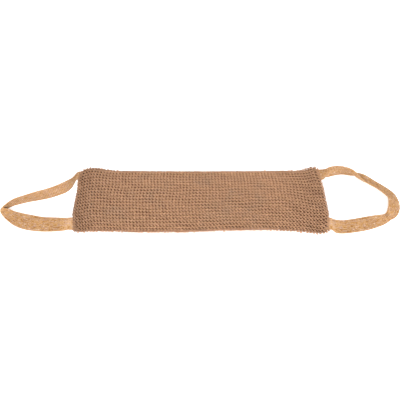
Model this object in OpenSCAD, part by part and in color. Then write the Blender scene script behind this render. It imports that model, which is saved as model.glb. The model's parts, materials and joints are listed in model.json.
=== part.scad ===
// Back scrubber: a long knitted pad with a flat tape handle at each end.
// The origin is under the middle of the pad, on the surface that it lies on.
// +X runs along the pad, +Y across it and +Z up. All sizes are in millimetres.

/* [Pad] */
// Length of the pad between its sewn ends
pad_l = 400; // [380:5:420]
// Width of the pad at its sewn ends
pad_w = 120; // [118:1:124]
// How far each long side pulls in at the middle of the pad
waist = 4.5; // [3:0.5:6]
// Height of the pad at the top of its crown
pad_h = 14; // [13.5:0.5:16]
// How much lower the crown is along the pad's edges
crown_drop = 5; // [4:0.5:5.5]
// Length of the slope at each sewn end
end_slope = 50; // [40:5:60]
// Radius of the pad's corners, seen from above
corner_r = 9; // [7:1:11]
// Thickness of the knitted cover
cover_t = 2.5; // [2:0.1:2.6]
// Height of the line where the front and back covers meet
seam_z = 4.5; // [4.4:0.1:4.8]

/* [Core] */
// Room between the core and the covers
core_gap = 0.2; // [0.1:0.1:0.4]
// How far the core stops short of each sewn end
core_end = 16; // [16:1:20]
// Distance of each bend line from the middle of the pad
bend_x = 70; // [60:5:90]
// Room for the core's pieces to turn about a bend line
bend_gap = 1; // [0.9:0.1:1.5]

/* [Handles] */
// Width of the handle tape
tape_w = 25; // [24:1:26]
// Thickness of the handle tape
tape_t = 2.2; // [2:0.1:2.4]
// Distance of each sewn tape end from the middle of the pad's width
tape_y = 43.5; // [42:0.5:44]
// How far a handle swings about a line outside the pad's sewn end
swing_out = 2; // [1.8:0.1:2.4]
// How far the tape's sewn end reaches into the pad
tape_in = 15; // [12:1:15]

/* [Stitching] */
// Radius of the closing thread in the seam between the covers
thread_r = 0.8; // [0.6:0.1:0.9]
// Room round the closing thread in its groove
thread_gap = 0.3; // [0.2:0.1:0.4]
// Length of one stitch of a tack
stitch_l = 2.6; // [2:0.1:3]
// Number of stitches across a tape end
stitches = 5; // [3:1:6]

/* [Hidden] */

knit_colour = [0.68, 0.52, 0.41];
core_colour = [0.78, 0.68, 0.48];
tape_colour = [0.87, 0.71, 0.52];
thread_colour = [0.58, 0.42, 0.32];

FINE = 240;   // sides of the wide circles of the pad's crown
LONG = 1440;  // sides of a whole turn of the pad's long, shallow sides
ROUND = 32;   // sides of small round shapes

half_l = pad_l / 2;
half_w = pad_w / 2;
bend_z = pad_h / 2;
hinge_x = half_l + swing_out;
core_inset = cover_t + core_gap;
root_w = tape_w - 3;       // the tape gathers a little where it is sewn in
slot_gap = 0.3;            // room round a tape's end and round its bead
stitch_w = 1.4;
stitch_h = 0.6;
bar_gap = 1;               // room between a tape and the closing thread beside it
bead_r = tape_t / 2 + 0.2;
bead_w = root_w + 0.4;

// radius of a circle's arc that is `chord` wide from end to end and `rise` high
function arc_r(chord, rise) = (chord * chord / 4 + rise * rise) / (2 * rise);

side_end = half_l - corner_r;
side_r = arc_r(2 * side_end, waist);
side_y = half_w - waist + side_r;
crown_r = arc_r(pad_w, crown_drop);
end_x = half_l - end_slope;
end_lift = 0.3;            // how far the end slopes start above the crown, so that they cross it
end_r = arc_r(2 * end_slope, crown_drop + end_lift);
waist_steps = 12;          // straight lengths in half of a long side
corner_steps = 8;          // straight lengths in a corner
strand_end = side_end - 3; // where the long closing threads stop, short of the corners

// ---- the pad's form ----

function mirrored(points, sx, sy) = [for (p = points) [sx * p[0], sy * p[1]]];
function reversed(points) = [for (i = [len(points) - 1 : -1 : 0]) points[i]];

// One rounded corner, and the half of a long side that follows it, drawn in by `inset`
function quarter(inset) = [
    for (i = [0 : corner_steps])
        let (a = 90 * i / corner_steps, r = corner_r - inset)
        [side_end + r * cos(a), half_w - corner_r + r * sin(a)],
    for (i = [waist_steps - 1 : -1 : 1])
        let (x = side_end * i / waist_steps)
        [x, side_y - sqrt(pow(side_r + inset, 2) - x * x)],
];

// The pad seen from above, with its long sides pulled in, and drawn in all round by `inset`
module outline(inset) {
    q = quarter(inset);
    polygon(concat(
        q,
        reversed(mirrored(q, -1, 1)),
        mirrored(q, -1, -1),
        reversed(mirrored(q, 1, -1))
    ));
}

// A flat underside, and a top that is crowned across the pad and falls away at its ends
module pad_form(inset) {
    intersection() {
        translate([0, 0, inset]) linear_extrude(pad_h) outline(inset);
        translate([0, 0, pad_h - crown_r]) rotate([0, 90, 0])
            cylinder(h = 2 * pad_l, r = crown_r - inset, center = true, $fn = FINE);
        union() {
            translate([-end_x, -pad_w, 0]) cube([2 * end_x, 2 * pad_w, pad_h + 1]);
            for (side = [-1, 1])
                translate([side * end_x, 0, pad_h + end_lift - end_r]) rotate([90, 0, 0])
                    cylinder(h = 2 * pad_w, r = end_r - inset, center = true, $fn = FINE);
        }
    }
}

// A block as wide and as long as the whole pad, from height z0 to height z1
module layer(z0, z1) {
    translate([-pad_l, -pad_w, z0]) cube([2 * pad_l, 2 * pad_w, z1 - z0]);
}

// ---- seams ----

// The line between the covers along one long side, as a round strand; `s` is 1 on the far side
module side_strand(s, r) {
    span = 2 * asin(strand_end / side_r);
    translate([0, s * side_y, seam_z]) rotate([0, 0, -90 * s - span / 2])
        rotate_extrude(angle = span, $fn = LONG) translate([side_r, 0]) circle(r, $fn = ROUND);
}

// One straight stretch of the line between the covers at a sewn end, from y0 to y1
module end_strand(side, y0, y1, r) {
    translate([side * half_l, y0, seam_z]) rotate([-90, 0, 0]) cylinder(h = y1 - y0, r = r, $fn = ROUND);
}

// The strand runs from corner to corner and leaves out the two tapes
module end_strands(side, r) {
    corner = half_w - corner_r - thread_gap;
    tape_edge = root_w / 2 + bar_gap;
    if (corner > tape_y + tape_edge) {
        end_strand(side, -corner, -tape_y - tape_edge, r);
        end_strand(side, tape_y + tape_edge, corner, r);
    }
    end_strand(side, -tape_y + tape_edge, tape_y - tape_edge, r);
}

module seam_grooves() {
    for (s = [-1, 1]) side_strand(s, thread_r + thread_gap);
    for (side = [-1, 1]) end_strands(side, thread_r + thread_gap);
}

// ---- tape ends ----

// A flat length of tape from x0 to x1 at a sewn end, as wide as `w` and as thick as `t`
module flat_tape(side, s, x0, x1, w, t) {
    translate([min(side * x0, side * x1), s * tape_y - w / 2, seam_z - t / 2]) cube([x1 - x0, w, t]);
}

module tape_slots() {
    for (side = [-1, 1], s = [-1, 1])
        flat_tape(side, s, half_l - 2 * cover_t, half_l + 1,
            root_w + 2 * slot_gap, tape_t + 2 * slot_gap);
}

// The sewn end of a handle's tape. It comes out between the covers and ends in the round bead
// that the tape bends about.
module tape_end(side, s) {
    color(tape_colour) {
        flat_tape(side, s, half_l - tape_in, hinge_x, root_w, tape_t);
        translate([side * hinge_x, s * tape_y, seam_z]) rotate([90, 0, 0])
            cylinder(h = bead_w, r = bead_r, center = true, $fn = ROUND);
    }
}

// A row of stitches on top of a tape end, inside the pad
module tack(side, s) {
    pitch = root_w / (stitches + 1);
    color(thread_colour)
        for (i = [1 : stitches])
            translate([
                side * (half_l - tape_in + stitch_l) - stitch_l / 2,
                s * tape_y - root_w / 2 + i * pitch - stitch_w / 2,
                seam_z + tape_t / 2,
            ]) cube([stitch_l, stitch_w, stitch_h]);
}

// ---- covers and core ----

module cover(z0, z1) {
    color(knit_colour)
        difference() {
            intersection() {
                pad_form(0);
                layer(z0, z1);
            }
            pad_form(cover_t);
            seam_grooves();
            tape_slots();
        }
}

module front_cover() { cover(seam_z, pad_h + 1); }
module back_cover() { cover(0, seam_z); }

// A round bar along a bend line, where two pieces of the core turn about each other
module bend_bar(side, r) {
    translate([side * bend_x, 0, bend_z]) rotate([90, 0, 0])
        cylinder(h = 2 * pad_w, r = r, center = true, $fn = ROUND * 2);
}

core_r = bend_z - core_inset;

module core_middle() {
    color(core_colour)
        intersection() {
            pad_form(core_inset);
            union() {
                translate([-bend_x, -pad_w, 0]) cube([2 * bend_x, 2 * pad_w, pad_h]);
                for (side = [-1, 1]) bend_bar(side, core_r);
            }
        }
}

module core_side(side) {
    inner = side * bend_x;
    outer = side * (half_l - core_end);
    color(core_colour)
        difference() {
            intersection() {
                pad_form(core_inset);
                translate([min(inner, outer), -pad_w, 0]) cube([abs(outer - inner), 2 * pad_w, pad_h]);
            }
            bend_bar(side, core_r + bend_gap);
        }
}

module core_left() { core_side(-1); }
module core_right() { core_side(1); }

// ---- closing threads ----

module far_side_seam() { color(thread_colour) side_strand(1, thread_r); }
module near_side_seam() { color(thread_colour) side_strand(-1, thread_r); }
module left_end_seam() { color(thread_colour) end_strands(-1, thread_r); }
module right_end_seam() { color(thread_colour) end_strands(1, thread_r); }

// ---- handles ----

// Each handle's tape, from its near sewn end round to its far one. A station gives the tape's
// lower edge and then its upper edge, as distance out from the swing line, y and z. The near
// arm lies flat. The far arm stands on its lower edge, and folds up close beside the pad.
near_out = bead_r + slot_gap;
far_out = near_out + tape_t / 2;
near_root = [[near_out, -tape_y - root_w / 2, seam_z], [near_out, -tape_y + root_w / 2, seam_z]];
far_root = [[far_out, tape_y - root_w / 2, seam_z], [far_out, tape_y + root_w / 2, seam_z]];
left_run = [
    near_root,
    [[10, -55.5, 2.5], [10, -33.5, 2.5]],
    [[26, -56.5, 1.4], [26, -33, 1.4]],
    [[45, -56.5, 1.3], [43, -32, 1.3]],
    [[62, -54.5, 1.3], [58, -29, 1.3]],
    [[76, -51, 1.3], [71, -26, 1.3]],
    [[88.5, -45.5, 1.3], [82, -24, 2]],
    [[100, -37, 1.3], [91, -21.5, 3]],
    [[108.5, -29, 1.3], [98, -19.5, 5.5]],
    [[114, -21.5, 1], [103, -19, 9.5]],
    [[112, -15.5, 0.7], [103.5, -18, 14]],
    [[105, -12, 0.5], [100.5, -16, 17.5]],
    [[97, -9.5, 0.5], [95, -13, 20.5]],
    [[87, -7, 0.4], [86, -10.5, 23]],
    [[73, -3.5, 0.4], [72, -6.5, 25]],
    [[57, 0, 0.4], [55, -0.5, 26]],
    [[41, 4.5, 0.4], [38, 5, 26]],
    [[27, 10, 0.4], [25, 12.5, 26]],
    [[16, 15.5, 0.4], [15, 19.5, 25.5]],
    [[8.5, 22, 1], [8, 26.5, 23.5]],
    [[5.5, 27, 2.8], [5, 37, 18.5]],
    far_root,
];
right_run = [
    near_root,
    [[8, -58, 2.5], [8, -35.5, 2.5]],
    [[20, -59.5, 1.4], [20, -36.5, 1.4]],
    [[38, -57.5, 1.3], [36, -34.5, 1.3]],
    [[56, -54, 1.3], [54, -31.5, 1.3]],
    [[73, -49, 1.3], [70, -29.5, 2]],
    [[85, -43.5, 1.3], [80, -28.5, 3]],
    [[95.5, -37, 1.3], [86.5, -26, 5]],
    [[106, -28, 1.3], [91.5, -19, 9]],
    [[113.5, -16, 1.3], [95, -10.5, 12]],
    [[116.5, -3.5, 1.3], [95, -3, 13.5]],
    [[114, 8, 1.3], [92, 3, 13.5]],
    [[106.5, 19, 1.3], [86.5, 8.5, 14]],
    [[98, 27.5, 1.2], [79.5, 14.5, 14]],
    [[88, 35.5, 1.2], [72, 20.5, 14.5]],
    [[75, 43, 1], [62.5, 27.5, 16.5]],
    [[62, 46.5, 0.7], [54.5, 35, 20.5]],
    [[50, 48.5, 0.5], [46, 43, 24.5]],
    [[36, 50, 0.4], [34, 47.5, 26]],
    [[22, 48.5, 0.4], [20, 49.5, 26]],
    [[11, 44.5, 1], [9, 49, 24]],
    [[6.5, 37.5, 3], [5.5, 52, 15.5]],
    far_root,
];
steps = 4;  // rings between two stations

function unit(v) = v / norm(v);

// A smooth curve through the stations, at t from 0 to 1 between station k and the next
function on_curve(p, k, t) =
    let (
        n = len(p) - 1,
        a = p[max(k - 1, 0)],
        b = p[k],
        c = p[min(k + 1, n)],
        d = p[min(k + 2, n)]
    )
    0.5 * (2 * b + (c - a) * t + (2 * a - 5 * b + 4 * c - d) * t * t
        + (3 * b - a - 3 * c + d) * t * t * t);

function smooth(run) = [
    for (k = [0 : len(run) - 2], i = [0 : steps - 1]) on_curve(run, k, i / steps),
    run[len(run) - 1],
];

function middle(station) = (station[0] + station[1]) / 2;

// The four corners of the tape's cross-section at ring i
function ring(path, side, i) =
    let (
        n = len(path) - 1,
        along = middle(path[min(i + 1, n)]) - middle(path[max(i - 1, 0)]),
        half = unit(cross(along, path[i][1] - path[i][0])) * tape_t / 2
    )
    [for (p = [path[i][0] - half, path[i][0] + half, path[i][1] + half, path[i][1] - half])
        [side * (hinge_x + p[0]), p[1], p[2]]];

// `side` is -1 on the left, where the whole loop is mirrored, and its faces are turned over
module tape_loop(run, side) {
    path = smooth(run);
    last = len(path) - 1;
    points = [for (i = [0 : last]) each ring(path, side, i)];
    walls = [
        for (i = [0 : last - 1], j = [0 : 3])
            let (a = 4 * i + j, b = 4 * i + (j + 1) % 4)
            each [[a, a + 4, b + 4], [a, b + 4, b]],
    ];
    e = 4 * last;
    ends = [[0, 1, 2], [0, 2, 3], [e + 2, e + 1, e], [e + 3, e + 2, e]];
    faces = [for (f = concat(walls, ends)) side < 0 ? f : [f[2], f[1], f[0]]];
    polyhedron(points, faces, convexity = 10);
}

module handle(run, side) {
    color(tape_colour) tape_loop(run, side);
}

module left_handle() { handle(left_run, -1); }
module right_handle() { handle(right_run, 1); }

front_cover();
back_cover();
core_middle();
core_left();
core_right();
far_side_seam();
near_side_seam();
left_end_seam();
right_end_seam();
left_handle();
right_handle();
tape_end(-1, 1);  // left_far_tape_end
tape_end(-1, -1);  // left_near_tape_end
tape_end(1, 1);  // right_far_tape_end
tape_end(1, -1);  // right_near_tape_end
tack(-1, 1);  // left_far_tack
tack(-1, -1);  // left_near_tack
tack(1, 1);  // right_far_tack
tack(1, -1);  // right_near_tack
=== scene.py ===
import json
import math

import bmesh
import bpy
import numpy as np
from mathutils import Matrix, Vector


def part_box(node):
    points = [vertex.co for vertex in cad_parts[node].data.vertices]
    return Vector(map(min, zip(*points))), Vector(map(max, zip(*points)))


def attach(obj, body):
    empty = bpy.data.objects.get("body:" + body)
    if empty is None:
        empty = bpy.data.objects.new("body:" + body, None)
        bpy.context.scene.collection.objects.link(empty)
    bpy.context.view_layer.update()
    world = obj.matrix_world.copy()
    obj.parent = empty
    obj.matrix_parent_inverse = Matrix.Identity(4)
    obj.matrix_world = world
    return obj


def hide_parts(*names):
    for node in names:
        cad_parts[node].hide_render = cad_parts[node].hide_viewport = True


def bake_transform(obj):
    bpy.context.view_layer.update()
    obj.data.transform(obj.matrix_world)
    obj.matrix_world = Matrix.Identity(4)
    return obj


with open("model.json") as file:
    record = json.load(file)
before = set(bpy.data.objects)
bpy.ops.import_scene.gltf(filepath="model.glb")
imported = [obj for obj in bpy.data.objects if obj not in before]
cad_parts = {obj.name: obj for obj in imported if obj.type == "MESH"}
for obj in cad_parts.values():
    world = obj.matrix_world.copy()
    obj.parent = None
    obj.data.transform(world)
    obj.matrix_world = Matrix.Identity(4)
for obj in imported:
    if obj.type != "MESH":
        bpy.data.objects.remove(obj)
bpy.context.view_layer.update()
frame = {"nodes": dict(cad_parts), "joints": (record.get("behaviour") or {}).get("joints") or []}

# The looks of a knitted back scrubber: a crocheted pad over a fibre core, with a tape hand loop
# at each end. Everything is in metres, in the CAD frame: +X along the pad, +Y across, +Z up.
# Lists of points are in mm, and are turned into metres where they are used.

MM = 0.001

# ---- sizes taken from the frame ----

COVER_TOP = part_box("front_cover")[1]
SEAM_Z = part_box("back_cover")[1].z      # height of the seam between the two covers
TOP_Z = COVER_TOP.z
HALF_L = COVER_TOP.x
HALF_W = COVER_TOP.y
JOINTS = {joint["name"]: joint for joint in frame["joints"]}
HINGE_X = JOINTS["right_swing"]["pos_m"][0]
SIGN = {"left": -1, "right": 1}         # the side of the middle that each end is on


# ---- curves ----

def catmull(points, per_span):
    """A smooth curve through the points, with per_span steps from each to the next."""
    p = np.asarray(points, float)
    last = len(p) - 1
    out = []
    for k in range(last):
        a, b, c, d = p[max(k - 1, 0)], p[k], p[k + 1], p[min(k + 2, last)]
        for i in range(per_span):
            t = i / per_span
            out.append(
                0.5 * (2 * b + (c - a) * t + (2 * a - 5 * b + 4 * c - d) * t * t
                       + (3 * b - a - 3 * c + d) * t ** 3)
            )
    out.append(p[last])
    return np.array(out)


def smooth_line(points):
    """A function of one coordinate that runs smoothly through (coordinate, value) points in mm."""
    fine = catmull(points, 12) * MM
    return lambda at: np.interp(at, fine[:, 0], fine[:, 1])


def smoothstep(low, high, value):
    """0 up to low, 1 from high, and a smooth rise between them. It falls if low is above high."""
    t = np.clip((value - low) / (high - low), 0, 1)
    return t * t * (3 - 2 * t)


def unit(v):
    return v / np.maximum(np.linalg.norm(v, axis=-1, keepdims=True), 1e-12)


# ---- the pad's form ----

# The pad's edges as they lie: the middle of the knit, so the fabric's outer face is a little
# further out. The long sides pull in at the middle, the corners are rounded, and the far right one
# stands out as an ear. The side lines are (x, y) points and the end lines (y, x) points.
far_edge = smooth_line([
    (-206, 43), (-200, 48.5), (-195, 54), (-189, 57.6), (-178, 58.6), (-164, 56.5), (-150, 54),
    (-132, 52), (-90, 51.6), (-20, 51.3), (50, 51.5), (110, 52), (150, 52.8), (170, 54.5),
    (180, 57.8), (188, 61), (193, 60), (198, 58), (206, 54),
])
near_edge = smooth_line([
    (-206, -48.4), (-198, -53.4), (-192, -56.9), (-186, -58.4), (-165, -57.4), (-145, -57),
    (-100, -58.5), (-30, -58.7), (10, -57.1), (60, -55.5), (90, -55), (120, -55.6), (150, -57.5),
    (168, -59.5), (181, -61.3), (189, -60.7), (195, -57.3), (206, -49.4),
])
left_end = smooth_line([
    (-64, -193), (-52, -194.8), (-38, -197.2), (-25, -199), (0, -198.8), (20, -198.8), (30, -200.4),
    (42, -200.8), (52, -199), (64, -196),
])
right_end = smooth_line([
    (-64, 194.5), (-52, 198), (-40, 200), (-25, 201), (3, 200.8), (24, 200.6), (38, 199.6),
    (52, 198.6), (64, 196),
])

EDGE_R = 7 * MM         # how far in from its seam the cover has risen to its full height
YARN_R = 0.62 * MM      # radius of one strand of the cover's yarn
PLY_ORBIT = 0.64 * MM   # from the middle of a course to the middle of each of its two strands
MAX_ORBIT = 1.1         # share of PLY_ORBIT at which the strands lie where a pair goes through
COURSE_LIFT = 0.2 * MM  # how far courses rise where strands go through them
UNEVEN = 0.2 * MM       # how far hand work leaves strands above or below their place
KNIT_T = COURSE_LIFT + MAX_ORBIT * PLY_ORBIT + YARN_R + UNEVEN    # from the knit's middle outwards
FLOOR_GAP = 0.1 * MM    # from the floor to the lowest strands
CROWN_DROP = 5 * MM     # how much lower the crown is along the long sides
END_DROP = 4 * MM       # and at the two ends
END_SLOPE = 46 * MM     # over what length it comes down to the ends

QUARTER = EDGE_R * math.pi / 2                # length of fabric in the quarter turn at a seam
FABRIC_U = 2 * (HALF_L - EDGE_R + QUARTER)    # size of the cover, measured over the fabric
FABRIC_V = 2 * (HALF_W - EDGE_R + QUARTER)


def fold(t, length):
    """How far in plan and how high a point lies that is t along the fabric from its seam."""
    near = np.minimum(t, length - t)
    turn = np.clip(near / EDGE_R, 0, math.pi / 2)
    inward = np.where(near < QUARTER, EDGE_R * (1 - np.cos(turn)), near - QUARTER + EDGE_R)
    across = length - 2 * (QUARTER - EDGE_R)
    return np.where(t < length / 2, inward, across - inward), np.sin(turn)


def puff(x, y):
    """Gentle unevenness of the filling."""
    return (
        0.35 * np.sin(x * 47 + 1.3) * np.cos(y * 61 + 0.4)
        + 0.30 * np.sin(x * 83 - y * 57 + 2.1)
        + 0.22 * np.sin(x * 29 + y * 120)
    ) * MM


def crown(x, y):
    """Height of the middle of the front knit above the seam, away from the edges."""
    end = smoothstep(HALF_L - END_SLOPE, HALF_L + 6 * MM, np.abs(x))
    return (
        TOP_Z - KNIT_T - SEAM_Z
        - CROWN_DROP * np.minimum(np.abs(y) / HALF_W, 1) ** 2.4 * (1 - 0.4 * end)
        - END_DROP * end + puff(x, y)
    )


def cover_point(u, v, side):
    """Where the middle of the knit lies, u along and v across the fabric. side is 1 in front."""
    along, rise_x = fold(u, FABRIC_U)
    across, rise_y = fold(v, FABRIC_V)
    share_x = along / (2 * HALF_L)
    share_y = across / (2 * HALF_W)
    x = -HALF_L + along
    for _ in range(2):
        low, high = near_edge(x), far_edge(x)
        y = low + (high - low) * share_y
        x = left_end(y) + (right_end(y) - left_end(y)) * share_x
    rise = rise_x * rise_y
    if side > 0:
        z = SEAM_Z + crown(x, y) * rise
    else:
        z = SEAM_Z - (SEAM_Z - KNIT_T - FLOOR_GAP) * rise
    return np.stack([x, y, z], axis=-1)


def cover_frame(u, v, side):
    """A point of the knit's middle, and the outward direction there."""
    step = 0.5 * MM
    p = cover_point(u, v, side)
    left = cover_point(np.maximum(u - step, 0), v, side)
    right = cover_point(np.minimum(u + step, FABRIC_U), v, side)
    near = cover_point(u, np.maximum(v - step, 0), side)
    far = cover_point(u, np.minimum(v + step, FABRIC_V), side)
    return p, unit(np.cross(right - left, far - near)) * side


# ---- meshes ----

MID_TINT = 0.5      # the tint at which a strand has its yarn's own colour
STRAND_SIDES = 6    # corners of a strand's section


def store(mesh, name, values):
    """Keeps a value or a vector for each point, which materials can read."""
    kind, field = ("FLOAT_VECTOR", "vector") if values.ndim == 2 else ("FLOAT", "value")
    layer = mesh.attributes.new(name, kind, "POINT")
    layer.data.foreach_set(field, values.astype(np.float32).ravel())


def shown(name, data):
    """A new object in the scene."""
    obj = bpy.data.objects.new(name, data)
    bpy.context.scene.collection.objects.link(obj)
    return obj


def points_of(obj):
    """The places of the mesh's points, one row for each."""
    co = np.empty(len(obj.data.vertices) * 3, np.float32)
    obj.data.vertices.foreach_get("co", co)
    return co.reshape(-1, 3).astype(float)


def move_points(obj, co):
    obj.data.vertices.foreach_set("co", co.astype(np.float32).ravel())
    obj.data.update()


class Piece:
    """Gathers strands and sheets into one mesh. Each point has a tint and a place that its material
    follows, at first where it is at rest. Each face corner has a UV: round a strand (0 to 1) and
    along it (in metres)."""

    def __init__(self):
        self.points, self.tints, self.places, self.faces, self.uvs = [], [], [], {}, {}
        self.count = 0

    def add(self, points, faces, uvs, tint, places=None):
        for f, uv in zip(faces, uvs):
            self.faces.setdefault(f.shape[1], []).append(f + self.count)
            self.uvs.setdefault(f.shape[1], []).append(uv)
        self.points.append(points)
        self.tints.append(np.broadcast_to(tint, len(points)))
        self.places.append(points if places is None else places)
        self.count += len(points)

    def build(self, name):
        """Makes the mesh and its object."""
        sizes = sorted(self.faces)
        faces = [np.concatenate(self.faces[n]) for n in sizes]
        uvs = np.concatenate([np.concatenate(self.uvs[n]).reshape(-1, 2) for n in sizes])
        points = np.concatenate(self.points).astype(np.float32)
        mesh = bpy.data.meshes.new(name)
        mesh.vertices.add(len(points))
        mesh.vertices.foreach_set("co", points.ravel())
        corners = np.concatenate([f.ravel() for f in faces])
        lengths = np.concatenate([np.full(len(f), f.shape[1]) for f in faces])
        mesh.loops.add(len(corners))
        mesh.loops.foreach_set("vertex_index", corners.astype(np.int32))
        mesh.polygons.add(len(lengths))
        mesh.polygons.foreach_set("loop_start", (np.cumsum(lengths) - lengths).astype(np.int32))
        mesh.update(calc_edges=True)
        mesh.polygons.foreach_set("use_smooth", np.full(len(lengths), True))
        mesh.uv_layers.new(name="strand").data.foreach_set("uv", uvs.astype(np.float32).ravel())
        store(mesh, "tint", np.concatenate(self.tints))
        store(mesh, "rest", np.concatenate(self.places))
        return shown(name, mesh)


def add_strands(piece, paths, up, radius, tint, places=None):
    """Many round strands at once. paths is (strands, points, 3), up a direction at each point, and
    tint one value for each strand or for each of its points."""
    count, n, _ = paths.shape
    sides = STRAND_SIDES
    along = unit(np.gradient(paths, axis=1))
    aside = unit(np.cross(along, up))
    over = np.cross(aside, along)
    angle = 2 * np.pi * (np.arange(sides) / sides - 0.25)
    ring = (
        aside[:, :, None] * np.cos(angle)[None, None, :, None]
        + over[:, :, None] * np.sin(angle)[None, None, :, None]
    )
    radius = np.broadcast_to(radius, (count, n))
    points = (paths[:, :, None] + ring * radius[:, :, None, None]).reshape(-1, 3)
    start = (np.arange(count) * n * sides)[:, None, None]
    i = np.arange(n - 1)[None, :, None]
    j = np.arange(sides)[None, None, :]
    k = (j + 1) % sides
    a, b = start + i * sides + j, start + i * sides + k
    walls = np.stack([a, b, b + sides, a + sides], axis=-1).reshape(-1, 4)
    first = (start + j)[:, 0, ::-1]
    caps = np.concatenate([first, (start + (n - 1) * sides + j)[:, 0]])
    step = np.linalg.norm(np.diff(paths, axis=1), axis=-1)
    run = np.concatenate([np.zeros((count, 1)), np.cumsum(step, axis=1)], axis=1)
    shape = (count, n - 1, sides)
    low, high = np.broadcast_to(run[:, :-1, None], shape), np.broadcast_to(run[:, 1:, None], shape)
    left, right = np.broadcast_to(j / sides, shape), np.broadcast_to((j + 1) / sides, shape)
    wall_uv = np.stack([
        np.stack([left, low], axis=-1), np.stack([right, low], axis=-1),
        np.stack([right, high], axis=-1), np.stack([left, high], axis=-1),
    ], axis=-2).reshape(-1, 4, 2)
    cap_uv = np.zeros((len(caps), sides, 2))
    tint = np.asarray(tint)
    tint = np.broadcast_to(tint[:, None] if tint.ndim == 1 else tint, (count, n))
    if places is not None:
        places = np.repeat(places.reshape(-1, 3), sides, axis=0)
    piece.add(points, [walls, caps], [wall_uv, cap_uv], np.repeat(tint.ravel(), sides), places)


def add_sheet(piece, upper, lower, tint):
    """A thin closed sheet from two grids of points, its upper and its lower face."""
    rows, cols = upper.shape[:2]
    i, j = np.meshgrid(np.arange(rows - 1), np.arange(cols - 1), indexing="ij")
    a = (i * cols + j).ravel()
    top = np.stack([a, a + cols, a + cols + 1, a + 1], axis=-1)
    rim = np.concatenate([
        np.arange(cols), cols - 1 + cols * np.arange(1, rows),
        (rows - 1) * cols + np.arange(cols - 2, -1, -1), cols * np.arange(rows - 2, 0, -1),
    ])
    after = np.roll(rim, -1)
    wall = np.stack([rim, after, after + rows * cols, rim + rows * cols], axis=-1)
    faces = np.concatenate([top, top[:, ::-1] + rows * cols, wall])
    points = np.concatenate([upper.reshape(-1, 3), lower.reshape(-1, 3)])
    piece.add(points, [faces], [np.zeros((len(faces), 4, 2))], tint)


# ---- the knit ----

# The pattern has two directions. A course is a ridge of two twisted strands along the pad. A wale
# is a pair of strands across it. A place in the pattern is a column and a row, both counted from
# the left near corner: courses lie at the middles of rows, and wales at the middles of columns.
COLUMNS = 80
ROWS = 21
COURSE_STEPS = 6        # rings for each column
WALE_STEPS = 8          # rings for each row
SLANT = 0.47            # how far a strand slants between two courses, in columns
PAIR_GAP = 0.28         # between the two strands of a pair, in columns
WALE_RISE = 0.75 * MM   # how far a wale rises over a course and sinks between two
WALE_SINK = 0.1 * MM    # how much lower than the courses the wales lie
COURSE_BULGE = 1.1 * MM     # extra rise of the outermost courses, which makes the edge knobbly
EDGE_BULGE = 1.6 * MM       # and of the wales where they turn at the seam


def column_line():
    """Fabric u for each fraction of the columns: they crowd together towards the two ends."""
    u = np.linspace(0, FABRIC_U, 2000)
    x = u - FABRIC_U / 2
    crowd = 1 + 0.22 * smoothstep(0.165, 0.195, -x) + 0.04 * smoothstep(0.145, 0.185, x)
    share = np.concatenate([[0], np.cumsum((crowd[1:] + crowd[:-1]) / 2)])
    return share / share[-1], u


column_share, column_u = column_line()


def end_tightness(column):
    """0 over most of the pad, and 1 where the knit is gathered into its two ends."""
    share = column / COLUMNS
    return np.maximum(smoothstep(0.10, 0.03, share), smoothstep(0.80, 0.93, share))


def fabric_place(column, row):
    """u and v of a point of the pattern. The rows climb towards the right and sag where the fabric
    is gathered into its ends, the columns lean there, and both wander a little everywhere."""
    u = np.interp(column / COLUMNS, column_share, column_u)
    share = row / ROWS
    v = share * FABRIC_V
    x = u - FABRIC_U / 2
    belly = np.sin(np.pi * np.clip(share, 0, 1))
    pull = 4.5 * MM * smoothstep(0.135, 0.205, x) + 3 * MM * smoothstep(0.165, 0.205, -x)
    climb = 2 * MM * smoothstep(-0.06, 0.13, x)
    wander = 0.5 * MM * np.sin(u * 38 + share * 5) + 0.35 * MM * np.sin(u * 91 + share * 11 + 2)
    v = v + belly * (wander + climb - pull)
    sway = 0.8 * MM * np.sin(share * 7 + u * 11) + 0.5 * MM * np.sin(share * 17 + u * 23)
    lean = (share - 0.5) * 5 * MM * smoothstep(0.12, 0.19, np.abs(x))
    inside = smoothstep(0, 14 * MM, u) * smoothstep(0, 14 * MM, FABRIC_U - u)
    u = u + (sway - lean) * inside
    return np.clip(u, 0, FABRIC_U), np.clip(v, 0, FABRIC_V)


def hand(column, row, seed):
    """Unevenness of hand work: a smooth random value about -1 to 1, the same wherever two pieces
    meet."""
    return (
        np.sin(column * 2.39 + row * 4.13 + seed) * 0.5
        + np.sin(column * 5.77 - row * 1.61 + seed * 2.3) * 0.35
        + np.sin(column * 0.83 + row * 7.31 + seed * 3.1) * 0.35
    )


def strand_points(column, row, lift, side):
    """Points lifted off the middle of the knit, and the outward direction there."""
    u, v = fabric_place(column, row)
    p, out = cover_frame(u, v, side)
    return p + out * lift[..., None], out


def skew(column):
    """How much the fabric is pulled askew: 0 at the left and 1 from the middle to the right."""
    return smoothstep(0.2, 0.6, column / COLUMNS)


def strand_radius(column):
    """Strands are pulled thinner where the knit is gathered."""
    return YARN_R * (1 - 0.25 * end_tightness(column))


def hem(row):
    """1 at the seams along the two long sides, and 0 from the second row inwards."""
    return smoothstep(1.6, 0, np.minimum(row, ROWS - row))


def strand_tint(column, row, lift, slow, quick):
    """Painted light and shade: lighter where the yarn lies on top, darker where it lies deep and
    where it turns under at the edge of the pad. Also darker near the left end, and uneven along
    itself, in a slow and a quick way."""
    share = column / COLUMNS
    along = 0.1 * smoothstep(0.8, 0.95, share) - 0.16 * smoothstep(0.28, 0.02, share)
    # painted highlight on the tops of the strands, painted shade where they lie deep and at the
    # seams
    painted_light_and_shade = 0.22 * lift / PLY_ORBIT - 0.26 * hem(row)
    return np.clip(MID_TINT + 0.2 * slow + 0.2 * quick + along + painted_light_and_shade, 0, 1)


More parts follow.
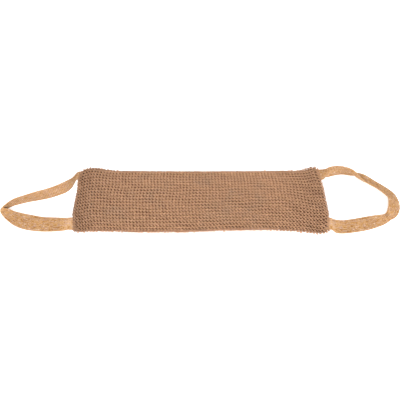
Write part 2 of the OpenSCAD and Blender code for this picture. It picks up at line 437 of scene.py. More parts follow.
def add_courses(piece, side, low, high):
    """The twisted ridges that run along the pad, from column low to column high. They bulge where
    a pair of strands goes through."""
    n = (high - low) * COURSE_STEPS + 1
    column = np.linspace(low, high, n)[None, :]
    row = (np.arange(ROWS) + 0.5)[:, None]
    through = 0.5 - 0.5 * np.cos(2 * np.pi * column)      # 1 where a pair goes through
    for ply in (0, 1):
        turn = np.pi * (column + ply) + 0.5 * hand(column, row, side)
        orbit = PLY_ORBIT * (0.85 + 0.25 * through) * (1 - 0.25 * skew(column))
        here = row + orbit * ROWS / FABRIC_V * np.cos(turn) + 0.06 * hand(column, row, side + 5)
        bulge = (COURSE_LIFT + COURSE_BULGE * hem(row)) * (2 * through - 1)
        sunk = 0.55 * MM * end_tightness(column)
        lift = bulge - sunk + orbit * np.sin(turn) + UNEVEN * hand(column, row, side + 9)
        paths, out = strand_points(np.broadcast_to(column, here.shape), here, lift, side)
        radius = strand_radius(column) * (0.98 + 0.1 * hand(column, row, side + 13))
        slow = hand(column * 0.21, row, side + ply + 20)
        quick = hand(column * 2.1, row, ply)
        tint = strand_tint(column, row, lift, slow, quick)
        add_strands(piece, paths, out, radius, tint)


def add_wales(piece, side, low, high):
    """Pairs of strands that cross the pad, slant from each course to the next, and slip back
    under it."""
    n = ROWS * WALE_STEPS + 1
    row = np.linspace(0, ROWS, n)[None, :]
    phase = row % 1
    zigzag = np.sin(2 * np.pi * phase) * 0.5     # right-hand side first, then across to the left
    column = (np.arange(low, high) + 0.5)[:, None]
    slant = SLANT * (1 + 0.15 * end_tightness(column) + 0.3 * skew(column))
    gap = PAIR_GAP * (1 - 0.2 * skew(column) - 0.15 * end_tightness(column))
    at_edge = smoothstep(0.5, 0, np.minimum(row, ROWS - row))
    bulge = EDGE_BULGE * at_edge * (1 + 0.7 * hand(column * 1.7, 0, 3))
    raised = 0.15 * MM * end_tightness(column)
    for pair in (-0.5, 0.5):
        uneven = 0.085 * hand(column, np.round(row), side + pair)
        here = column + pair * gap - slant * zigzag + uneven
        over = WALE_RISE * np.cos(2 * np.pi * phase) - WALE_SINK
        lift = over + UNEVEN * hand(column, row, side + 3 + pair) + bulge + raised
        paths, out = strand_points(here, np.broadcast_to(row, here.shape), lift, side)
        radius = strand_radius(column) * (1 + 0.1 * hand(column, row, side + 7 + pair))
        slow = hand(column, row * 0.15, side + pair + 30)
        quick = hand(column, row * 1.9, pair)
        tint = strand_tint(column, row, lift, slow, quick)
        add_strands(piece, paths, out, radius, tint)


# ---- materials ----

def new_material(name):
    """A node material, its nodes and its links."""
    material = bpy.data.materials.new(name)
    material.use_nodes = True
    return material, material.node_tree.nodes, material.node_tree.links


def ramp(nodes, links, value, stops):
    """The colour for a value, from (value, colour) stops."""
    node = nodes.new("ShaderNodeValToRGB")
    while len(node.color_ramp.elements) < len(stops):
        node.color_ramp.elements.new(0.5)
    for element, (at, colour) in zip(node.color_ramp.elements, stops):
        element.position = at
        element.color = (*colour, 1)
    links.new(value, node.inputs["Fac"])
    return node.outputs["Color"]


def linear(r, g, b):
    """A colour as the eye names it, from 0 to 255, in the renderer's linear values."""
    return tuple(((c / 255 + 0.055) / 1.055) ** 2.4 for c in (r, g, b))


def noise(nodes, links, vector, scale, detail, roughness):
    node = nodes.new("ShaderNodeTexNoise")
    node.inputs["Scale"].default_value = scale
    node.inputs["Detail"].default_value = detail
    node.inputs["Roughness"].default_value = roughness
    links.new(vector, node.inputs["Vector"])
    return node.outputs["Fac"]


def mix(nodes, links, kind, share, a, b):
    """Colour b laid over colour a. share is a socket or a number."""
    node = nodes.new("ShaderNodeMix")
    node.data_type = "RGBA"
    node.blend_type = kind
    if isinstance(share, float):
        node.inputs["Factor"].default_value = share
    else:
        links.new(share, node.inputs["Factor"])
    links.new(a, node.inputs["A"])
    links.new(b, node.inputs["B"])
    return node.outputs["Result"]


def stored(nodes, name, socket):
    """A value that the mesh holds for each of its points."""
    node = nodes.new("ShaderNodeAttribute")
    node.attribute_name = name
    return node.outputs[socket]


def math_node(nodes, links, operation, *values):
    """A maths node: each value is a socket or a number."""
    node = nodes.new("ShaderNodeMath")
    node.operation = operation
    for place, value in enumerate(values):
        if isinstance(value, float):
            node.inputs[place].default_value = value
        else:
            links.new(value, node.inputs[place])
    return node.outputs["Value"]


def flat_colour(nodes, colour):
    node = nodes.new("ShaderNodeRGB")
    node.outputs[0].default_value = (*colour, 1)
    return node.outputs[0]


def bump(nodes, links, height, distance, strength, shader):
    node = nodes.new("ShaderNodeBump")
    node.inputs["Distance"].default_value = distance
    node.inputs["Strength"].default_value = strength
    links.new(height, node.inputs["Height"])
    links.new(node.outputs["Normal"], shader.inputs["Normal"])


def strand_fibres(nodes, links, twist, fineness):
    """Noise drawn out into fibres that wind round the strand, twist turns to the metre."""
    uv = nodes.new("ShaderNodeUVMap")
    uv.uv_map = "strand"
    split = nodes.new("ShaderNodeSeparateXYZ")
    links.new(uv.outputs["UV"], split.inputs["Vector"])
    wound = math_node(nodes, links, "MULTIPLY_ADD", split.outputs["Y"], -twist, split.outputs["X"])
    round_it = math_node(nodes, links, "MULTIPLY", wound, fineness)
    along = math_node(nodes, links, "MULTIPLY", split.outputs["Y"], 260.0)
    apart = math_node(nodes, links, "MULTIPLY", stored(nodes, "tint", "Fac"), 40.0)
    place = nodes.new("ShaderNodeCombineXYZ")
    for value, socket in ((round_it, "X"), (along, "Y"), (apart, "Z")):
        links.new(value, place.inputs[socket])
    return noise(nodes, links, place.outputs["Vector"], 1.0, 2, 0.6)


def multiply(nodes, links, colour, *others):
    """The colour times each of the others."""
    for other in others:
        colour = mix(nodes, links, "MULTIPLY", 1.0, colour, other)
    return colour


def make_matte(shader, roughness, specular, sheen_roughness):
    shader.inputs["Roughness"].default_value = roughness
    shader.inputs["Specular IOR Level"].default_value = specular
    shader.inputs["Sheen Weight"].default_value = 0.2
    shader.inputs["Sheen Roughness"].default_value = sheen_roughness


# How the tint scales a yarn's colour: low tints carry painted shade, high ones painted light as well
# as each strand's own unevenness.
YARN_BY_TINT = [(0.0, (0.60, 0.545, 0.48)), (0.5, (1.0, 1.0, 1.0)), (1.0, (1.34, 1.33, 1.30))]


def yarn_material(name, dark, mid, light, fleck, grey):
    """Matte spun yarn: wound fibres, a tint for each strand that holds its own unevenness and
    painted light and shade, flecks, and patches where the fabric is worn paler or greyer."""
    material, nodes, links = new_material(name)
    shader = nodes["Principled BSDF"]
    rest = stored(nodes, "rest", "Vector")
    tint = stored(nodes, "tint", "Fac")
    fibre = strand_fibres(nodes, links, 190.0, 7.0)
    fuzz = noise(nodes, links, rest, 1900, 3, 0.7)
    patch = noise(nodes, links, rest, 34, 3, 0.6)
    marl = noise(nodes, links, rest, 150, 2, 0.5)
    speck = noise(nodes, links, rest, 520, 2, 0.5)
    base = ramp(nodes, links, fibre, [(0.30, dark), (0.5, mid), (0.72, light)])
    strand = ramp(nodes, links, tint, YARN_BY_TINT)
    mottled = ramp(nodes, links, marl, [(0.35, (0.92, 0.90, 0.88)), (0.65, (1.1, 1.09, 1.08))])
    colour = multiply(nodes, links, base, strand, mottled)
    greyer = ramp(nodes, links, patch, [(0.52, (0, 0, 0)), (0.75, (0.4, 0.4, 0.4))])
    colour = mix(nodes, links, "MIX", greyer, colour, flat_colour(nodes, grey))
    flecked = ramp(nodes, links, speck, [(0.62, (0, 0, 0)), (0.72, (0.8, 0.8, 0.8))])
    colour = mix(nodes, links, "MIX", flecked, colour, flat_colour(nodes, fleck))
    links.new(colour, shader.inputs["Base Color"])
    make_matte(shader, roughness=0.92, specular=0.15, sheen_roughness=0.5)
    height = math_node(nodes, links, "ADD", fibre, fuzz)
    bump(nodes, links, height, 0.25 * MM, 0.7, shader)
    return material


# The colours here are those of the cloth itself, darker than it looks under the studio's light.
TAPE_COLOURS = [
    (0.34, linear(140, 92, 44)), (0.43, linear(178, 134, 78)), (0.52, linear(190, 154, 112)),
    (0.59, linear(154, 116, 96)), (0.70, linear(216, 188, 156)),
]
# How the tint scales the tape's colour: it carries painted shade at creases and edges and painted
# light near the sewn ends, with each stitch's own unevenness.
TAPE_BY_TINT = [(0.0, (0.62, 0.58, 0.54)), (0.5, (1.0, 1.0, 1.0)), (1.0, (1.13, 1.2, 1.36))]


def tape_material():
    """Golden marled yarn: gold, straw and pinkish lengths follow each other along it."""
    material, nodes, links = new_material("marled_tape")
    shader = nodes["Principled BSDF"]
    rest = stored(nodes, "rest", "Vector")
    tint = stored(nodes, "tint", "Fac")
    fibre = strand_fibres(nodes, links, 260.0, 6.0)
    fuzz = noise(nodes, links, rest, 2200, 3, 0.7)
    marl = noise(nodes, links, rest, 560, 2, 0.6)
    patch = noise(nodes, links, rest, 70, 2, 0.5)
    base = ramp(nodes, links, marl, TAPE_COLOURS)
    fine = ramp(nodes, links, fibre, [(0.25, (0.82, 0.80, 0.78)), (0.75, (1.14, 1.14, 1.15))])
    strand = ramp(nodes, links, tint, TAPE_BY_TINT)
    broad = ramp(nodes, links, patch, [(0.3, (0.96, 0.92, 0.86)), (0.7, (1.04, 1.06, 1.1))])
    colour = multiply(nodes, links, base, fine, strand, broad)
    links.new(colour, shader.inputs["Base Color"])
    make_matte(shader, roughness=0.88, specular=0.18, sheen_roughness=0.45)
    height = math_node(nodes, links, "ADD", fibre, fuzz)
    bump(nodes, links, height, 0.2 * MM, 0.7, shader)
    return material


knit_yarn = yarn_material(
    "brown_knit_yarn", dark=linear(124, 87, 62), mid=linear(162, 122, 92),
    light=linear(192, 154, 122), fleck=linear(122, 88, 66), grey=linear(146, 120, 98))
# The core's colours are very dark: its own brown, darkened with painted shade for the eyelets it is
# seen through.
core_fibre_and_painted_shade = yarn_material(
    "fibre_core", dark=linear(44, 25, 15), mid=linear(62, 38, 25), light=linear(82, 54, 38),
    fleck=linear(48, 30, 20), grey=linear(66, 50, 40))
seam_thread = yarn_material(
    "closing_thread", dark=linear(94, 62, 42), mid=linear(124, 88, 64),
    light=linear(152, 114, 88), fleck=linear(98, 70, 50), grey=linear(116, 94, 76))
marled_tape = tape_material()


def finish_piece(obj, material):
    """Gives a piece its material, and the tint and place that it follows if it has none yet. The
    place is where each point is at rest, so that the pattern stays with the fabric in every pose."""
    obj.data.materials.append(material)
    if "rest" not in obj.data.attributes:
        store(obj.data, "rest", points_of(obj))
    if "tint" not in obj.data.attributes:
        store(obj.data, "tint", np.full(len(obj.data.vertices), MID_TINT))


def bend_with_pad(obj):
    """Bakes the piece's placement into its points."""
    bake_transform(obj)


def make_knit():
    """Each cover in two halves, which meet at the middle of the pad."""
    middle = COLUMNS // 2
    for side, cover in ((1, "front"), (-1, "back")):
        for end, low, high in (("left", 0, middle), ("right", middle, COLUMNS)):
            for kind, add in (("courses", add_courses), ("wales", add_wales)):
                piece = Piece()
                add(piece, side, low, high)
                obj = piece.build(f"{cover}_{kind}_{end}")
                finish_piece(obj, knit_yarn)
                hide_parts(cover + "_cover")
                bend_with_pad(obj)


# ---- the core ----

CORE_GAP = 1.5 * MM         # from the middle of a cover's knit to the core
CORE_INSET = 0.8 * MM       # and from the middle of the knit to the core's sides
CORE_LEAST = 0.5 * MM       # thickness that is left for the core at the seam
VOXEL = 4 * MM
START_SMALLER = 0.8 * MM    # how much room the block leaves for its swelling, above and below
BLOCK_LEAST = 2.8 * MM      # half the least thickness that the voxel remesh keeps
SWELL = 3 * MM              # how far the stuffing may push a point of the core
SIDE_GIVE = 0.3             # share of that which is left sideways: the cover holds its sides
CLOTH_FRAMES = 20
HEM_HALF = 0.3 * MM         # half the thickness of the core's flat edge
HEM_DROP = 0.8 * MM         # how far below the seam it lies


def under_cover(x, y):
    """Lowest and highest place of the core between the covers at x, y."""
    in_x = np.minimum(x - left_end(y), right_end(y) - x)
    in_y = np.minimum(y - near_edge(x), far_edge(x) - y)
    rise = 1.0
    for inward in (in_x, in_y):
        share = np.clip(inward / EDGE_R, 0, 1)
        rise = rise * np.sqrt(1 - (1 - share) ** 2)
    bottom = np.full(np.shape(x), KNIT_T + CORE_GAP)
    return bottom, np.maximum(SEAM_Z + crown(x, y) * rise - CORE_GAP, bottom + CORE_LEAST)


def core_grid():
    """x and y of a grid over the pad's outline, a little inside its seams."""
    rows, cols = 100, 30
    share_x, share_y = np.meshgrid(np.linspace(0, 1, rows), np.linspace(0, 1, cols), indexing="ij")
    x = HALF_L * (2 * share_x - 1)
    for _ in range(2):
        low, high = near_edge(x) + CORE_INSET, far_edge(x) - CORE_INSET
        y = low + (high - low) * share_y
        left, right = left_end(y) + CORE_INSET, right_end(y) - CORE_INSET
        x = left + (right - left) * share_x
    return x, y


def core_slab(name, x, y, middle, half):
    """A closed slab over the grid, half its thickness above and half below its middle."""
    piece = Piece()
    upper = np.stack([x, y, middle + half], axis=-1)
    lower = np.stack([x, y, middle - half], axis=-1)
    add_sheet(piece, upper, lower, MID_TINT)
    return piece.build(name)


def core_block():
    """The core before it is stuffed."""
    x, y = core_grid()
    bottom, top = under_cover(x, y)
    half = np.maximum((top - bottom) / 2 - START_SMALLER, BLOCK_LEAST)
    return core_slab("core", x, y, (top + bottom) / 2, half)


def core_hem():
    """The flat edge of the core, which is caught between the covers at the seam."""
    x, y = core_grid()
    return core_slab("core_hem", x, y, np.full_like(x, SEAM_Z - HEM_DROP), HEM_HALF)


def apply_modifier(obj, modifier):
    bpy.context.view_layer.objects.active = obj
    bpy.ops.object.modifier_apply(modifier=modifier.name)


def swell(block):
    """Blows the block up as a filled cloth bag, and limits how far each point has moved."""
    start = points_of(block)
    cloth = block.modifiers.new("cloth", "CLOTH")
    cloth.settings.quality = 4
    cloth.settings.mass = 0.3
    cloth.settings.use_pressure = True
    cloth.settings.uniform_pressure_force = 4.0
    cloth.settings.effector_weights.gravity = 0.0
    cloth.settings.tension_stiffness = 25
    cloth.settings.compression_stiffness = 25
    cloth.collision_settings.use_collision = False
    cloth.point_cache.frame_start = 1
    cloth.point_cache.frame_end = CLOTH_FRAMES
    scene = bpy.context.scene
    for number in range(1, CLOTH_FRAMES + 1):
        scene.frame_set(number)
    apply_modifier(block, cloth)
    scene.frame_set(1)
    move = points_of(block) - start
    far = np.linalg.norm(move, axis=1, keepdims=True)
    limit = np.minimum(1, SWELL / np.maximum(far, 1e-9))
    move_points(block, start + move * limit * (SIDE_GIVE, SIDE_GIVE, 1))


def stuff(block):
    """Turns the block into a filled cloth bag: an even mesh, swollen, then subdivided once."""
    remesh = block.modifiers.new("remesh", "REMESH")
    remesh.mode = "VOXEL"
    remesh.voxel_size = VOXEL
    apply_modifier(block, remesh)
    swell(block)
    finer = block.modifiers.new("finer", "SUBSURF")
    finer.levels = 1
    apply_modifier(block, finer)


def keep_under_cover(obj):
    """Holds every point of the core inside the space that the two covers leave."""
    x, y, z = points_of(obj).T
    x = np.clip(x, left_end(y) + CORE_INSET, right_end(y) - CORE_INSET)
    y = np.clip(y, near_edge(x) + CORE_INSET, far_edge(x) - CORE_INSET)
    bottom, top = under_cover(x, y)
    z = np.clip(z, bottom, top)
    move_points(obj, np.stack([x, y, z], axis=-1))


def half_of(obj, end):
    """A closed copy of one half of a part of the core, cut at the middle of the pad."""
    sign = SIGN[end]
    bm = bmesh.new()
    bm.from_mesh(obj.data)
    cut = bmesh.ops.bisect_plane(
        bm, geom=bm.verts[:] + bm.edges[:] + bm.faces[:], plane_co=(0, 0, 0),
        plane_no=(sign, 0, 0), clear_inner=True,
    )
    edges = [e for e in cut["geom_cut"] if isinstance(e, bmesh.types.BMEdge)]
    bmesh.ops.contextual_create(bm, geom=edges)
    bmesh.ops.recalc_face_normals(bm, faces=bm.faces)
    name = f"{obj.name}_{end}_half"
    mesh = bpy.data.meshes.new(name)
    bm.to_mesh(mesh)
    bm.free()
    for polygon in mesh.polygons:
        polygon.use_smooth = True
    return shown(name, mesh)


def make_core():
    """The stuffed core and its flat edge, each in two halves, which meet at the middle."""
    block = core_block()
    stuff(block)
    keep_under_cover(block)
    for part in (block, core_hem()):
        for end in ("left", "right"):
            half = half_of(part, end)
            finish_piece(half, core_fibre_and_painted_shade)
            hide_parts("core_middle", "core_" + end)
            bend_with_pad(half)
        bpy.data.objects.remove(part)


# ---- closing threads ----

SEAM_PITCH = 5.4 * MM   # from one turn of the thread to the next
SEAM_STEPS = 12         # rings of thread for each turn
SEAM_OUT = 1.0 * MM     # how far the thread reaches out from the seam
SEAM_UP = 2.0 * MM      # and over and under it
THREAD_R = 0.5 * MM
SIDE_SEAM_END = HALF_L - 6 * MM                         # where the side threads end
END_SEAM_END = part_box("right_far_tape_end")[0].y - 2 * MM   # and the end threads, next to a tape


def add_whip_stitches(piece, line, out):
    """A thread wound round the seam line. out is the direction away from the pad."""
    length = np.concatenate([[0], np.cumsum(np.linalg.norm(np.diff(line, axis=0), axis=1))])
    turns = max(round(length[-1] / SEAM_PITCH), 1)
    s = np.linspace(0, length[-1], turns * SEAM_STEPS + 1)
    centre = np.stack([np.interp(s, length, line[:, k]) for k in range(3)], axis=-1)
    turn = 2 * np.pi * np.arange(len(s)) / SEAM_STEPS
    uneven = 1 + 0.12 * np.sin(turn * 0.37) + 0.1 * np.sin(turn * 0.61 + 1)
    path = (
        centre + np.asarray(out, float) * (SEAM_OUT * np.cos(turn) * uneven)[:, None]
        + np.array([0, 0, 1.0]) * (SEAM_UP * np.sin(turn) * uneven)[:, None]
    )
    around = unit(path - centre)
    tint = np.array([MID_TINT])
    add_strands(piece, path[None], around[None], THREAD_R, tint)


def side_seam(piece, edge, side, end):
    """The closing thread along one half of a long side."""
    x = np.linspace(0, SIGN[end] * SIDE_SEAM_END, 160)
    line = np.stack([x, edge(x), np.full_like(x, SEAM_Z)], axis=-1)
    add_whip_stitches(piece, line, (0, side, 0))


def end_seam(piece, edge, end):
    """The closing thread of one end, between the two tapes."""
    y = np.linspace(-END_SEAM_END, END_SEAM_END, 60)
    line = np.stack([edge(y), y, np.full_like(y, SEAM_Z)], axis=-1)
    add_whip_stitches(piece, line, (SIGN[end], 0, 0))


def make_seams():
    """Each side thread in two halves, and an end thread at each end."""
    for name, edge, side in (("far", far_edge, 1), ("near", near_edge, -1)):
        for end in ("left", "right"):
            piece = Piece()
            side_seam(piece, edge, side, end)
            obj = piece.build(f"{name}_side_thread_{end}")
            finish_piece(obj, seam_thread)
            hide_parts(name + "_side_seam")
            bend_with_pad(obj)
    for end, edge in (("left", left_end), ("right", right_end)):
        piece = Piece()
        end_seam(piece, edge, end)
        obj = piece.build(f"{end}_end_thread")
        finish_piece(obj, seam_thread)
        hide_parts(f"{end}_end_seam")
        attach(obj, "pad_" + end)


# ---- the tapes ----

# Each hand loop, from its near sewn end round to its far one, in mm: the tape's lower edge and
# its upper edge, each as distance out from the swing line, y and z.
LEFT_LOOP = [
    [(10, -56.8, 2.5), (10, -34.2, 2.5)],
    [(26, -57.5, 1.4), (26, -33, 1.4)],
    [(45, -57.3, 1.3), (43, -32.2, 1.3)],
    [(62, -55.1, 1.3), (58, -29.5, 1.3)],
    [(76, -51.4, 1.3), (71, -26.9, 1.3)],
    [(88.5, -45.5, 1.3), (82, -24.7, 2)],
    [(100, -37, 1.3), (91, -22.7, 3)],
    [(108.5, -29, 1.3), (98, -20, 5.5)],
    [(113.6, -21.8, 1), (104.8, -20.4, 8.5)],
    [(112.6, -16.6, 0.7), (106.2, -19, 11.5)],
    [(103.5, -15.2, 0.5), (101.8, -17, 14.5)],
    [(96.5, -11.4, 0.5), (95, -14, 18.5)],
    [(87.5, -8.2, 0.4), (86, -11.2, 22.5)],
    [(73, -4, 0.4), (72, -7, 24.7)],
    [(57, -0.6, 0.4), (55, -1, 25.7)],
    [(41, 3.4, 0.4), (38, 5, 25.5)],
    [(27, 8.9, 0.4), (25, 11, 25.2)],
    [(16, 14.6, 0.4), (15, 17.5, 24.5)],
    [(8.5, 22.5, 1), (8, 25, 21.5)],
    [(5.5, 28.5, 2.8), (5, 34.3, 14.5)],
]
RIGHT_LOOP = [
    [(7, -60.4, 2.5), (8, -37, 2.5)],
    [(20, -60.8, 1.4), (20, -38, 1.4)],
    [(38, -58.4, 1.3), (36, -35.8, 1.3)],
    [(56, -54.9, 1.3), (54, -32.4, 1.3)],
    [(73, -49.6, 1.3), (70, -29.8, 2)],
    [(85, -44.6, 1.3), (81, -29, 3)],
    [(95.5, -37.6, 1.3), (88.5, -27.8, 4.5)],
    [(107, -30.5, 1.3), (92.5, -20.3, 9)],
    [(114.4, -18.6, 1.3), (94.8, -10.5, 12)],
    [(117, -5.5, 1.3), (95, -4, 13.5)],
    [(114.4, 8.8, 1.3), (92.5, 0.6, 13.5)],
    [(106.8, 19.4, 1.3), (87.5, 6.2, 14)],
    [(98, 27.5, 1.2), (79.5, 14, 14.4)],
    [(88, 35.8, 1.2), (72, 20.3, 14)],
    [(75, 45.6, 1), (62.5, 26, 16.5)],
    [(62, 46.6, 0.7), (54.5, 34.6, 20.5)],
    [(50, 47.6, 0.5), (46, 42.3, 24)],
    [(36, 50, 0.4), (34, 47.2, 25.6)],
    [(22, 47.8, 0.4), (20, 48.8, 26)],
    [(12, 44.6, 1), (9, 48.6, 23.4)],
    [(6.5, 42.4, 3), (5.5, 51.5, 14.5)],
]

# What differs between the tapes. far_root is y of the two edges where the far end is sewn in. A
# twist is a station, how deep the tape cups there, and over what length. A crease is the station
# where the tape is folded, and where shade is painted on it. far_pale_and_lit is the length at the
# far end where it is paler: partly its own paler sewn end, partly painted light where the pad shades
# it.
TAPES = {
    "left": {
        "loop": LEFT_LOOP, "far_root": (37, 52.3), "twist": (9, 0.8 * MM, 12 * MM),
        "crease": 10, "far_pale_and_lit": 100 * MM, "seed": 7,
    },
    "right": {
        "loop": RIGHT_LOOP, "far_root": (37, 57.3), "twist": (15, 4.2 * MM, 19 * MM),
        "crease": 6, "far_pale_and_lit": 48 * MM, "seed": 8,
    },
}
NEAR_ROOT = (-56, -35)  # y of the two edges where the near end is sewn in
TAPE_WIDTH = 25 * MM
TAPE_SPAN = 12          # steps from one station to the next
TAPE_MARGIN = 0.035     # share of the width outside the middles of the outermost columns
# the near end is paler partly in its own colour where it is sewn, partly from painted light where
# the pad shades it
NEAR_PALE_AND_LIT = 34 * MM     # length at the near end of each tape where it is paler
# the darker yarn at a crease is painted shade in the fold
CREASE_REACH = 4 * MM   # how far along the tape a crease is darker
TAPE_WALES = 9          # knitted columns across the tape
STITCH = 2.5 * MM       # from one row of its stitches to the next
LOOP_STEPS = 14         # rings of yarn for each stitch
TAPE_YARN_R = 0.52 * MM
SELVEDGE_R = 0.62 * MM  # radius of the strand along each edge
LOOP_SWAY = 0.22        # how far a loop's legs lean apart, in columns
LOOP_REACH = 0.80       # how far a loop reaches over its neighbours, in rows
LOOP_DEPTH = 0.42 * MM  # how far its legs and its head are from the tape's middle


def tape_root(out, edges):
    """A flat station of the tape where it lies between the covers."""
    return [(out, edges[0], SEAM_Z / MM), (out, edges[1], SEAM_Z / MM)]


def tape_surface(tape, sign):
    """A function that gives the middle of the tape and the direction of its upper face at s along
    it and share w across it, the tape's length, and where it is creased. Where it twists it also
    cups, to and fro."""
    near = [tape_root(out, NEAR_ROOT) for out in (-16, -8, 0)]
    far = [tape_root(out, tape["far_root"]) for out in (1.5, -8, -16)]
    stations = np.array(near + tape["loop"] + far) * MM
    edges = catmull(stations.reshape(-1, 6), TAPE_SPAN).reshape(-1, 2, 3)
    edges[..., 0] = sign * (HINGE_X + edges[..., 0])
    middle = edges.mean(axis=1)
    length = np.concatenate([[0], np.cumsum(np.linalg.norm(np.diff(middle, axis=0), axis=1))])
    slope = np.gradient(edges, length, axis=0)
    station, depth, reach = tape["twist"]
    at_twist = length[(station + len(near)) * TAPE_SPAN]
    at_crease = length[(tape["crease"] + len(near)) * TAPE_SPAN]

    def at(s, w):
        def pick(values):
            return np.stack([np.interp(s, length, values[:, k]) for k in range(3)], axis=-1)

        w = w[..., None]
        low, high = pick(edges[:, 0]), pick(edges[:, 1])
        along = pick(slope[:, 0]) * (1 - w) + pick(slope[:, 1]) * w
        face = unit(np.cross(along, high - low)) * sign
        cup = depth * np.exp(-((s[..., None] - at_twist) / reach) ** 2) * np.sin(2 * np.pi * w)
        return low + (high - low) * w + face * cup, face

    return at, length[-1], at_crease


def tape_loops(piece, at, length, at_crease, far_pale_and_lit, rng):
    """Jersey stitches: each row's yarn crosses the tape in loops that pass through the row before,
    their legs on the upper face and their heads on the lower. Near at_crease the yarn carries
    painted shade, and near its sewn ends it is paler, partly from painted light."""
    count = int((length - 2 * STITCH) / STITCH)
    row = np.linspace(1.2 * STITCH, length - 1.2 * STITCH, count)[:, None]
    theta = np.linspace(0, TAPE_WALES, TAPE_WALES * LOOP_STEPS + 1)[None, :]
    wave = 2 * np.pi * theta
    phase = rng.uniform(0, 2 * np.pi, (count, 1))
    uneven = np.sin(theta * 1.9 + phase) * np.sin(theta * 0.7 + phase * 3)
    column = theta + LOOP_SWAY * np.sin(2 * wave) * (1 + 0.2 * uneven)
    s = row + STITCH * (LOOP_REACH * np.cos(wave) * (1 + 0.06 * uneven) + 0.06 * uneven)
    w = TAPE_MARGIN + (1 - 2 * TAPE_MARGIN) * column / TAPE_WALES
    p, face = at(s, w)
    lift = -LOOP_DEPTH * np.cos(2 * wave)
    ribs = 0.36 + 0.2 * np.sin(0.035 * s / MM + 0.5 * theta)
    ribbed = ribs * np.cos(wave) + 0.15 * np.sin(4.3 * theta + 0.01 * s / MM)
    # painted shade in the fold of a crease, towards the tape's upper edge
    painted_crease_shade = 0.75 * np.exp(-((s - at_crease) / CREASE_REACH) ** 2) * smoothstep(0.3, 0.8, w)
    # paler near the sewn ends: partly the tape's own paler colour there, partly painted light
    # against the pad's shadow
    near_pale_and_lit = 0.5 * smoothstep(NEAR_PALE_AND_LIT, 0.5 * NEAR_PALE_AND_LIT, s)
    pale_and_lit = near_pale_and_lit + 0.5 * smoothstep(far_pale_and_lit, 0, length - s)
    own = rng.normal(MID_TINT, 0.07, (count, 1)) + 0.1 * uneven
    tint = np.clip(own + ribbed + pale_and_lit - painted_crease_shade, 0, 1)
    drawn_out = 0.3 * s        # the marl is longer along the tape than across it
    places = np.stack(np.broadcast_arrays(drawn_out, TAPE_WIDTH * w, lift), axis=-1)
    paths = p + face * lift[..., None]
    add_strands(piece, paths, face, TAPE_YARN_R, tint, places)


def tape_selvedges(piece, at, length):
    """A strand along each edge, which the rows turn round."""
    s = np.arange(0.4 * STITCH, length - 0.4 * STITCH, STITCH / 4)
    for w in (0.015, 0.985):
        p, face = at(s, np.full_like(s, w))
        sway = 0.25 * MM * np.sin(2 * np.pi * s / STITCH)
        path = p + face * sway[:, None]
        # the slightly low tint is painted shade along the tape's rounded edges
        tint = np.array([0.45])
        add_strands(piece, path[None], face[None], SELVEDGE_R, tint)


def tape_shade_sheet(piece, at, length):
    """A thin inner sheet, so that no light comes through between the loops. Its low tint is painted
    shade deep between them.
    """
    along = np.arange(0.5 * STITCH, length - 0.5 * STITCH, STITCH)
    s, w = np.meshgrid(along, np.linspace(0.02, 0.98, 10), indexing="ij")
    p, face = at(s, w)
    half = face * 0.2 * MM
    # the low tint is painted shade seen through the gaps between the loops
    add_sheet(piece, p + half, p - half, 0.1)


def make_tapes():
    """One tape at each end, which turns from its sewn ends into its hand loop."""
    for end, tape in TAPES.items():
        sign = SIGN[end]
        at, length, at_crease = tape_surface(tape, sign)
        piece = Piece()
        rng = np.random.default_rng(tape["seed"])
        tape_loops(piece, at, length, at_crease, tape["far_pale_and_lit"], rng)
        tape_selvedges(piece, at, length)
        tape_shade_sheet(piece, at, length)
        obj = piece.build(f"{end}_tape")
        finish_piece(obj, marled_tape)
        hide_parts(f"{end}_handle", f"{end}_far_tape_end", f"{end}_near_tape_end")
        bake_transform(obj)


def dress_tacks():
    """The CAD's own tacks, in thread."""
    for end in ("left", "right"):
        for place in ("far", "near"):
            node = frame["nodes"][f"{end}_{place}_tack"]
            node.data.materials.clear()
            finish_piece(node, seam_thread)


# ---- floor, light and camera ----

FLOOR_HALF = 6.0
ELEVATION = math.radians(58.5)      # how far above the floor the photo was taken from
CAMERA_DISTANCE = 0.645


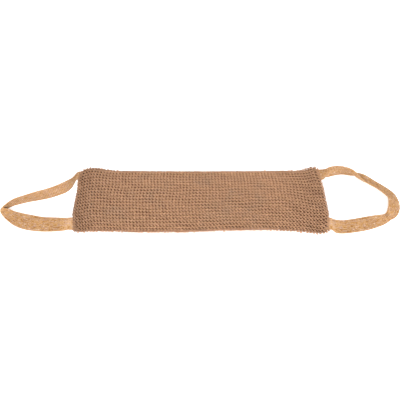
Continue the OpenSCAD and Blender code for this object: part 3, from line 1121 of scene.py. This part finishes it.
def make_floor():
    near_left, near_right = (-FLOOR_HALF, -FLOOR_HALF, 0), (FLOOR_HALF, -FLOOR_HALF, 0)
    far_left, far_right = (-FLOOR_HALF, FLOOR_HALF, 0), (FLOOR_HALF, FLOOR_HALF, 0)
    mesh = bpy.data.meshes.new("floor")
    mesh.from_pydata([near_left, near_right, far_right, far_left], [], [(0, 1, 2, 3)])
    floor = shown("floor", mesh)
    material, nodes, _ = new_material("pale_floor")
    shader = nodes["Principled BSDF"]
    shader.inputs["Base Color"].default_value = (0.96, 0.96, 0.96, 1)
    shader.inputs["Roughness"].default_value = 0.9
    shader.inputs["Emission Color"].default_value = (1, 1, 1, 1)
    shader.inputs["Emission Strength"].default_value = 0.4
    shader.inputs["Specular IOR Level"].default_value = 0.1
    floor.data.materials.append(material)


def area_light(name, place, size, power):
    """A round light that faces the middle of the pad."""
    data = bpy.data.lights.new(name, "AREA")
    data.shape = "DISK"
    data.size = size
    data.energy = power
    light = shown(name, data)
    light.location = place
    light.rotation_mode = "QUATERNION"
    light.rotation_quaternion = (-Vector(place)).to_track_quat("-Z", "Y")


def make_light():
    world = bpy.data.worlds.new("studio")
    world.use_nodes = True
    background = world.node_tree.nodes["Background"]
    background.inputs["Color"].default_value = (1, 1, 1, 1)
    background.inputs["Strength"].default_value = 1.05
    bpy.context.scene.world = world
    area_light("key", (-0.6, -1.7, 1.1), 1.0, 38)
    area_light("fill", (1.1, -0.5, 1.6), 1.2, 14)
    area_light("back", (0.3, 1.6, 1.5), 1.2, 9)


def make_camera():
    """At the photo's viewing angle, facing the middle of the pad."""
    data = bpy.data.cameras.new("camera")
    data.sensor_width = 36
    data.lens = 36
    data.clip_start = 0.01
    camera = shown("camera", data)
    away = Vector((0, -math.cos(ELEVATION), math.sin(ELEVATION)))
    camera.location = away * CAMERA_DISTANCE
    camera.rotation_mode = "QUATERNION"
    camera.rotation_quaternion = (-away).to_track_quat("-Z", "Y")
    bpy.context.scene.camera = camera
    bpy.context.scene.view_settings.view_transform = "Standard"


make_camera()
make_light()
make_floor()
make_knit()
make_core()
make_seams()
make_tapes()
dress_tacks()
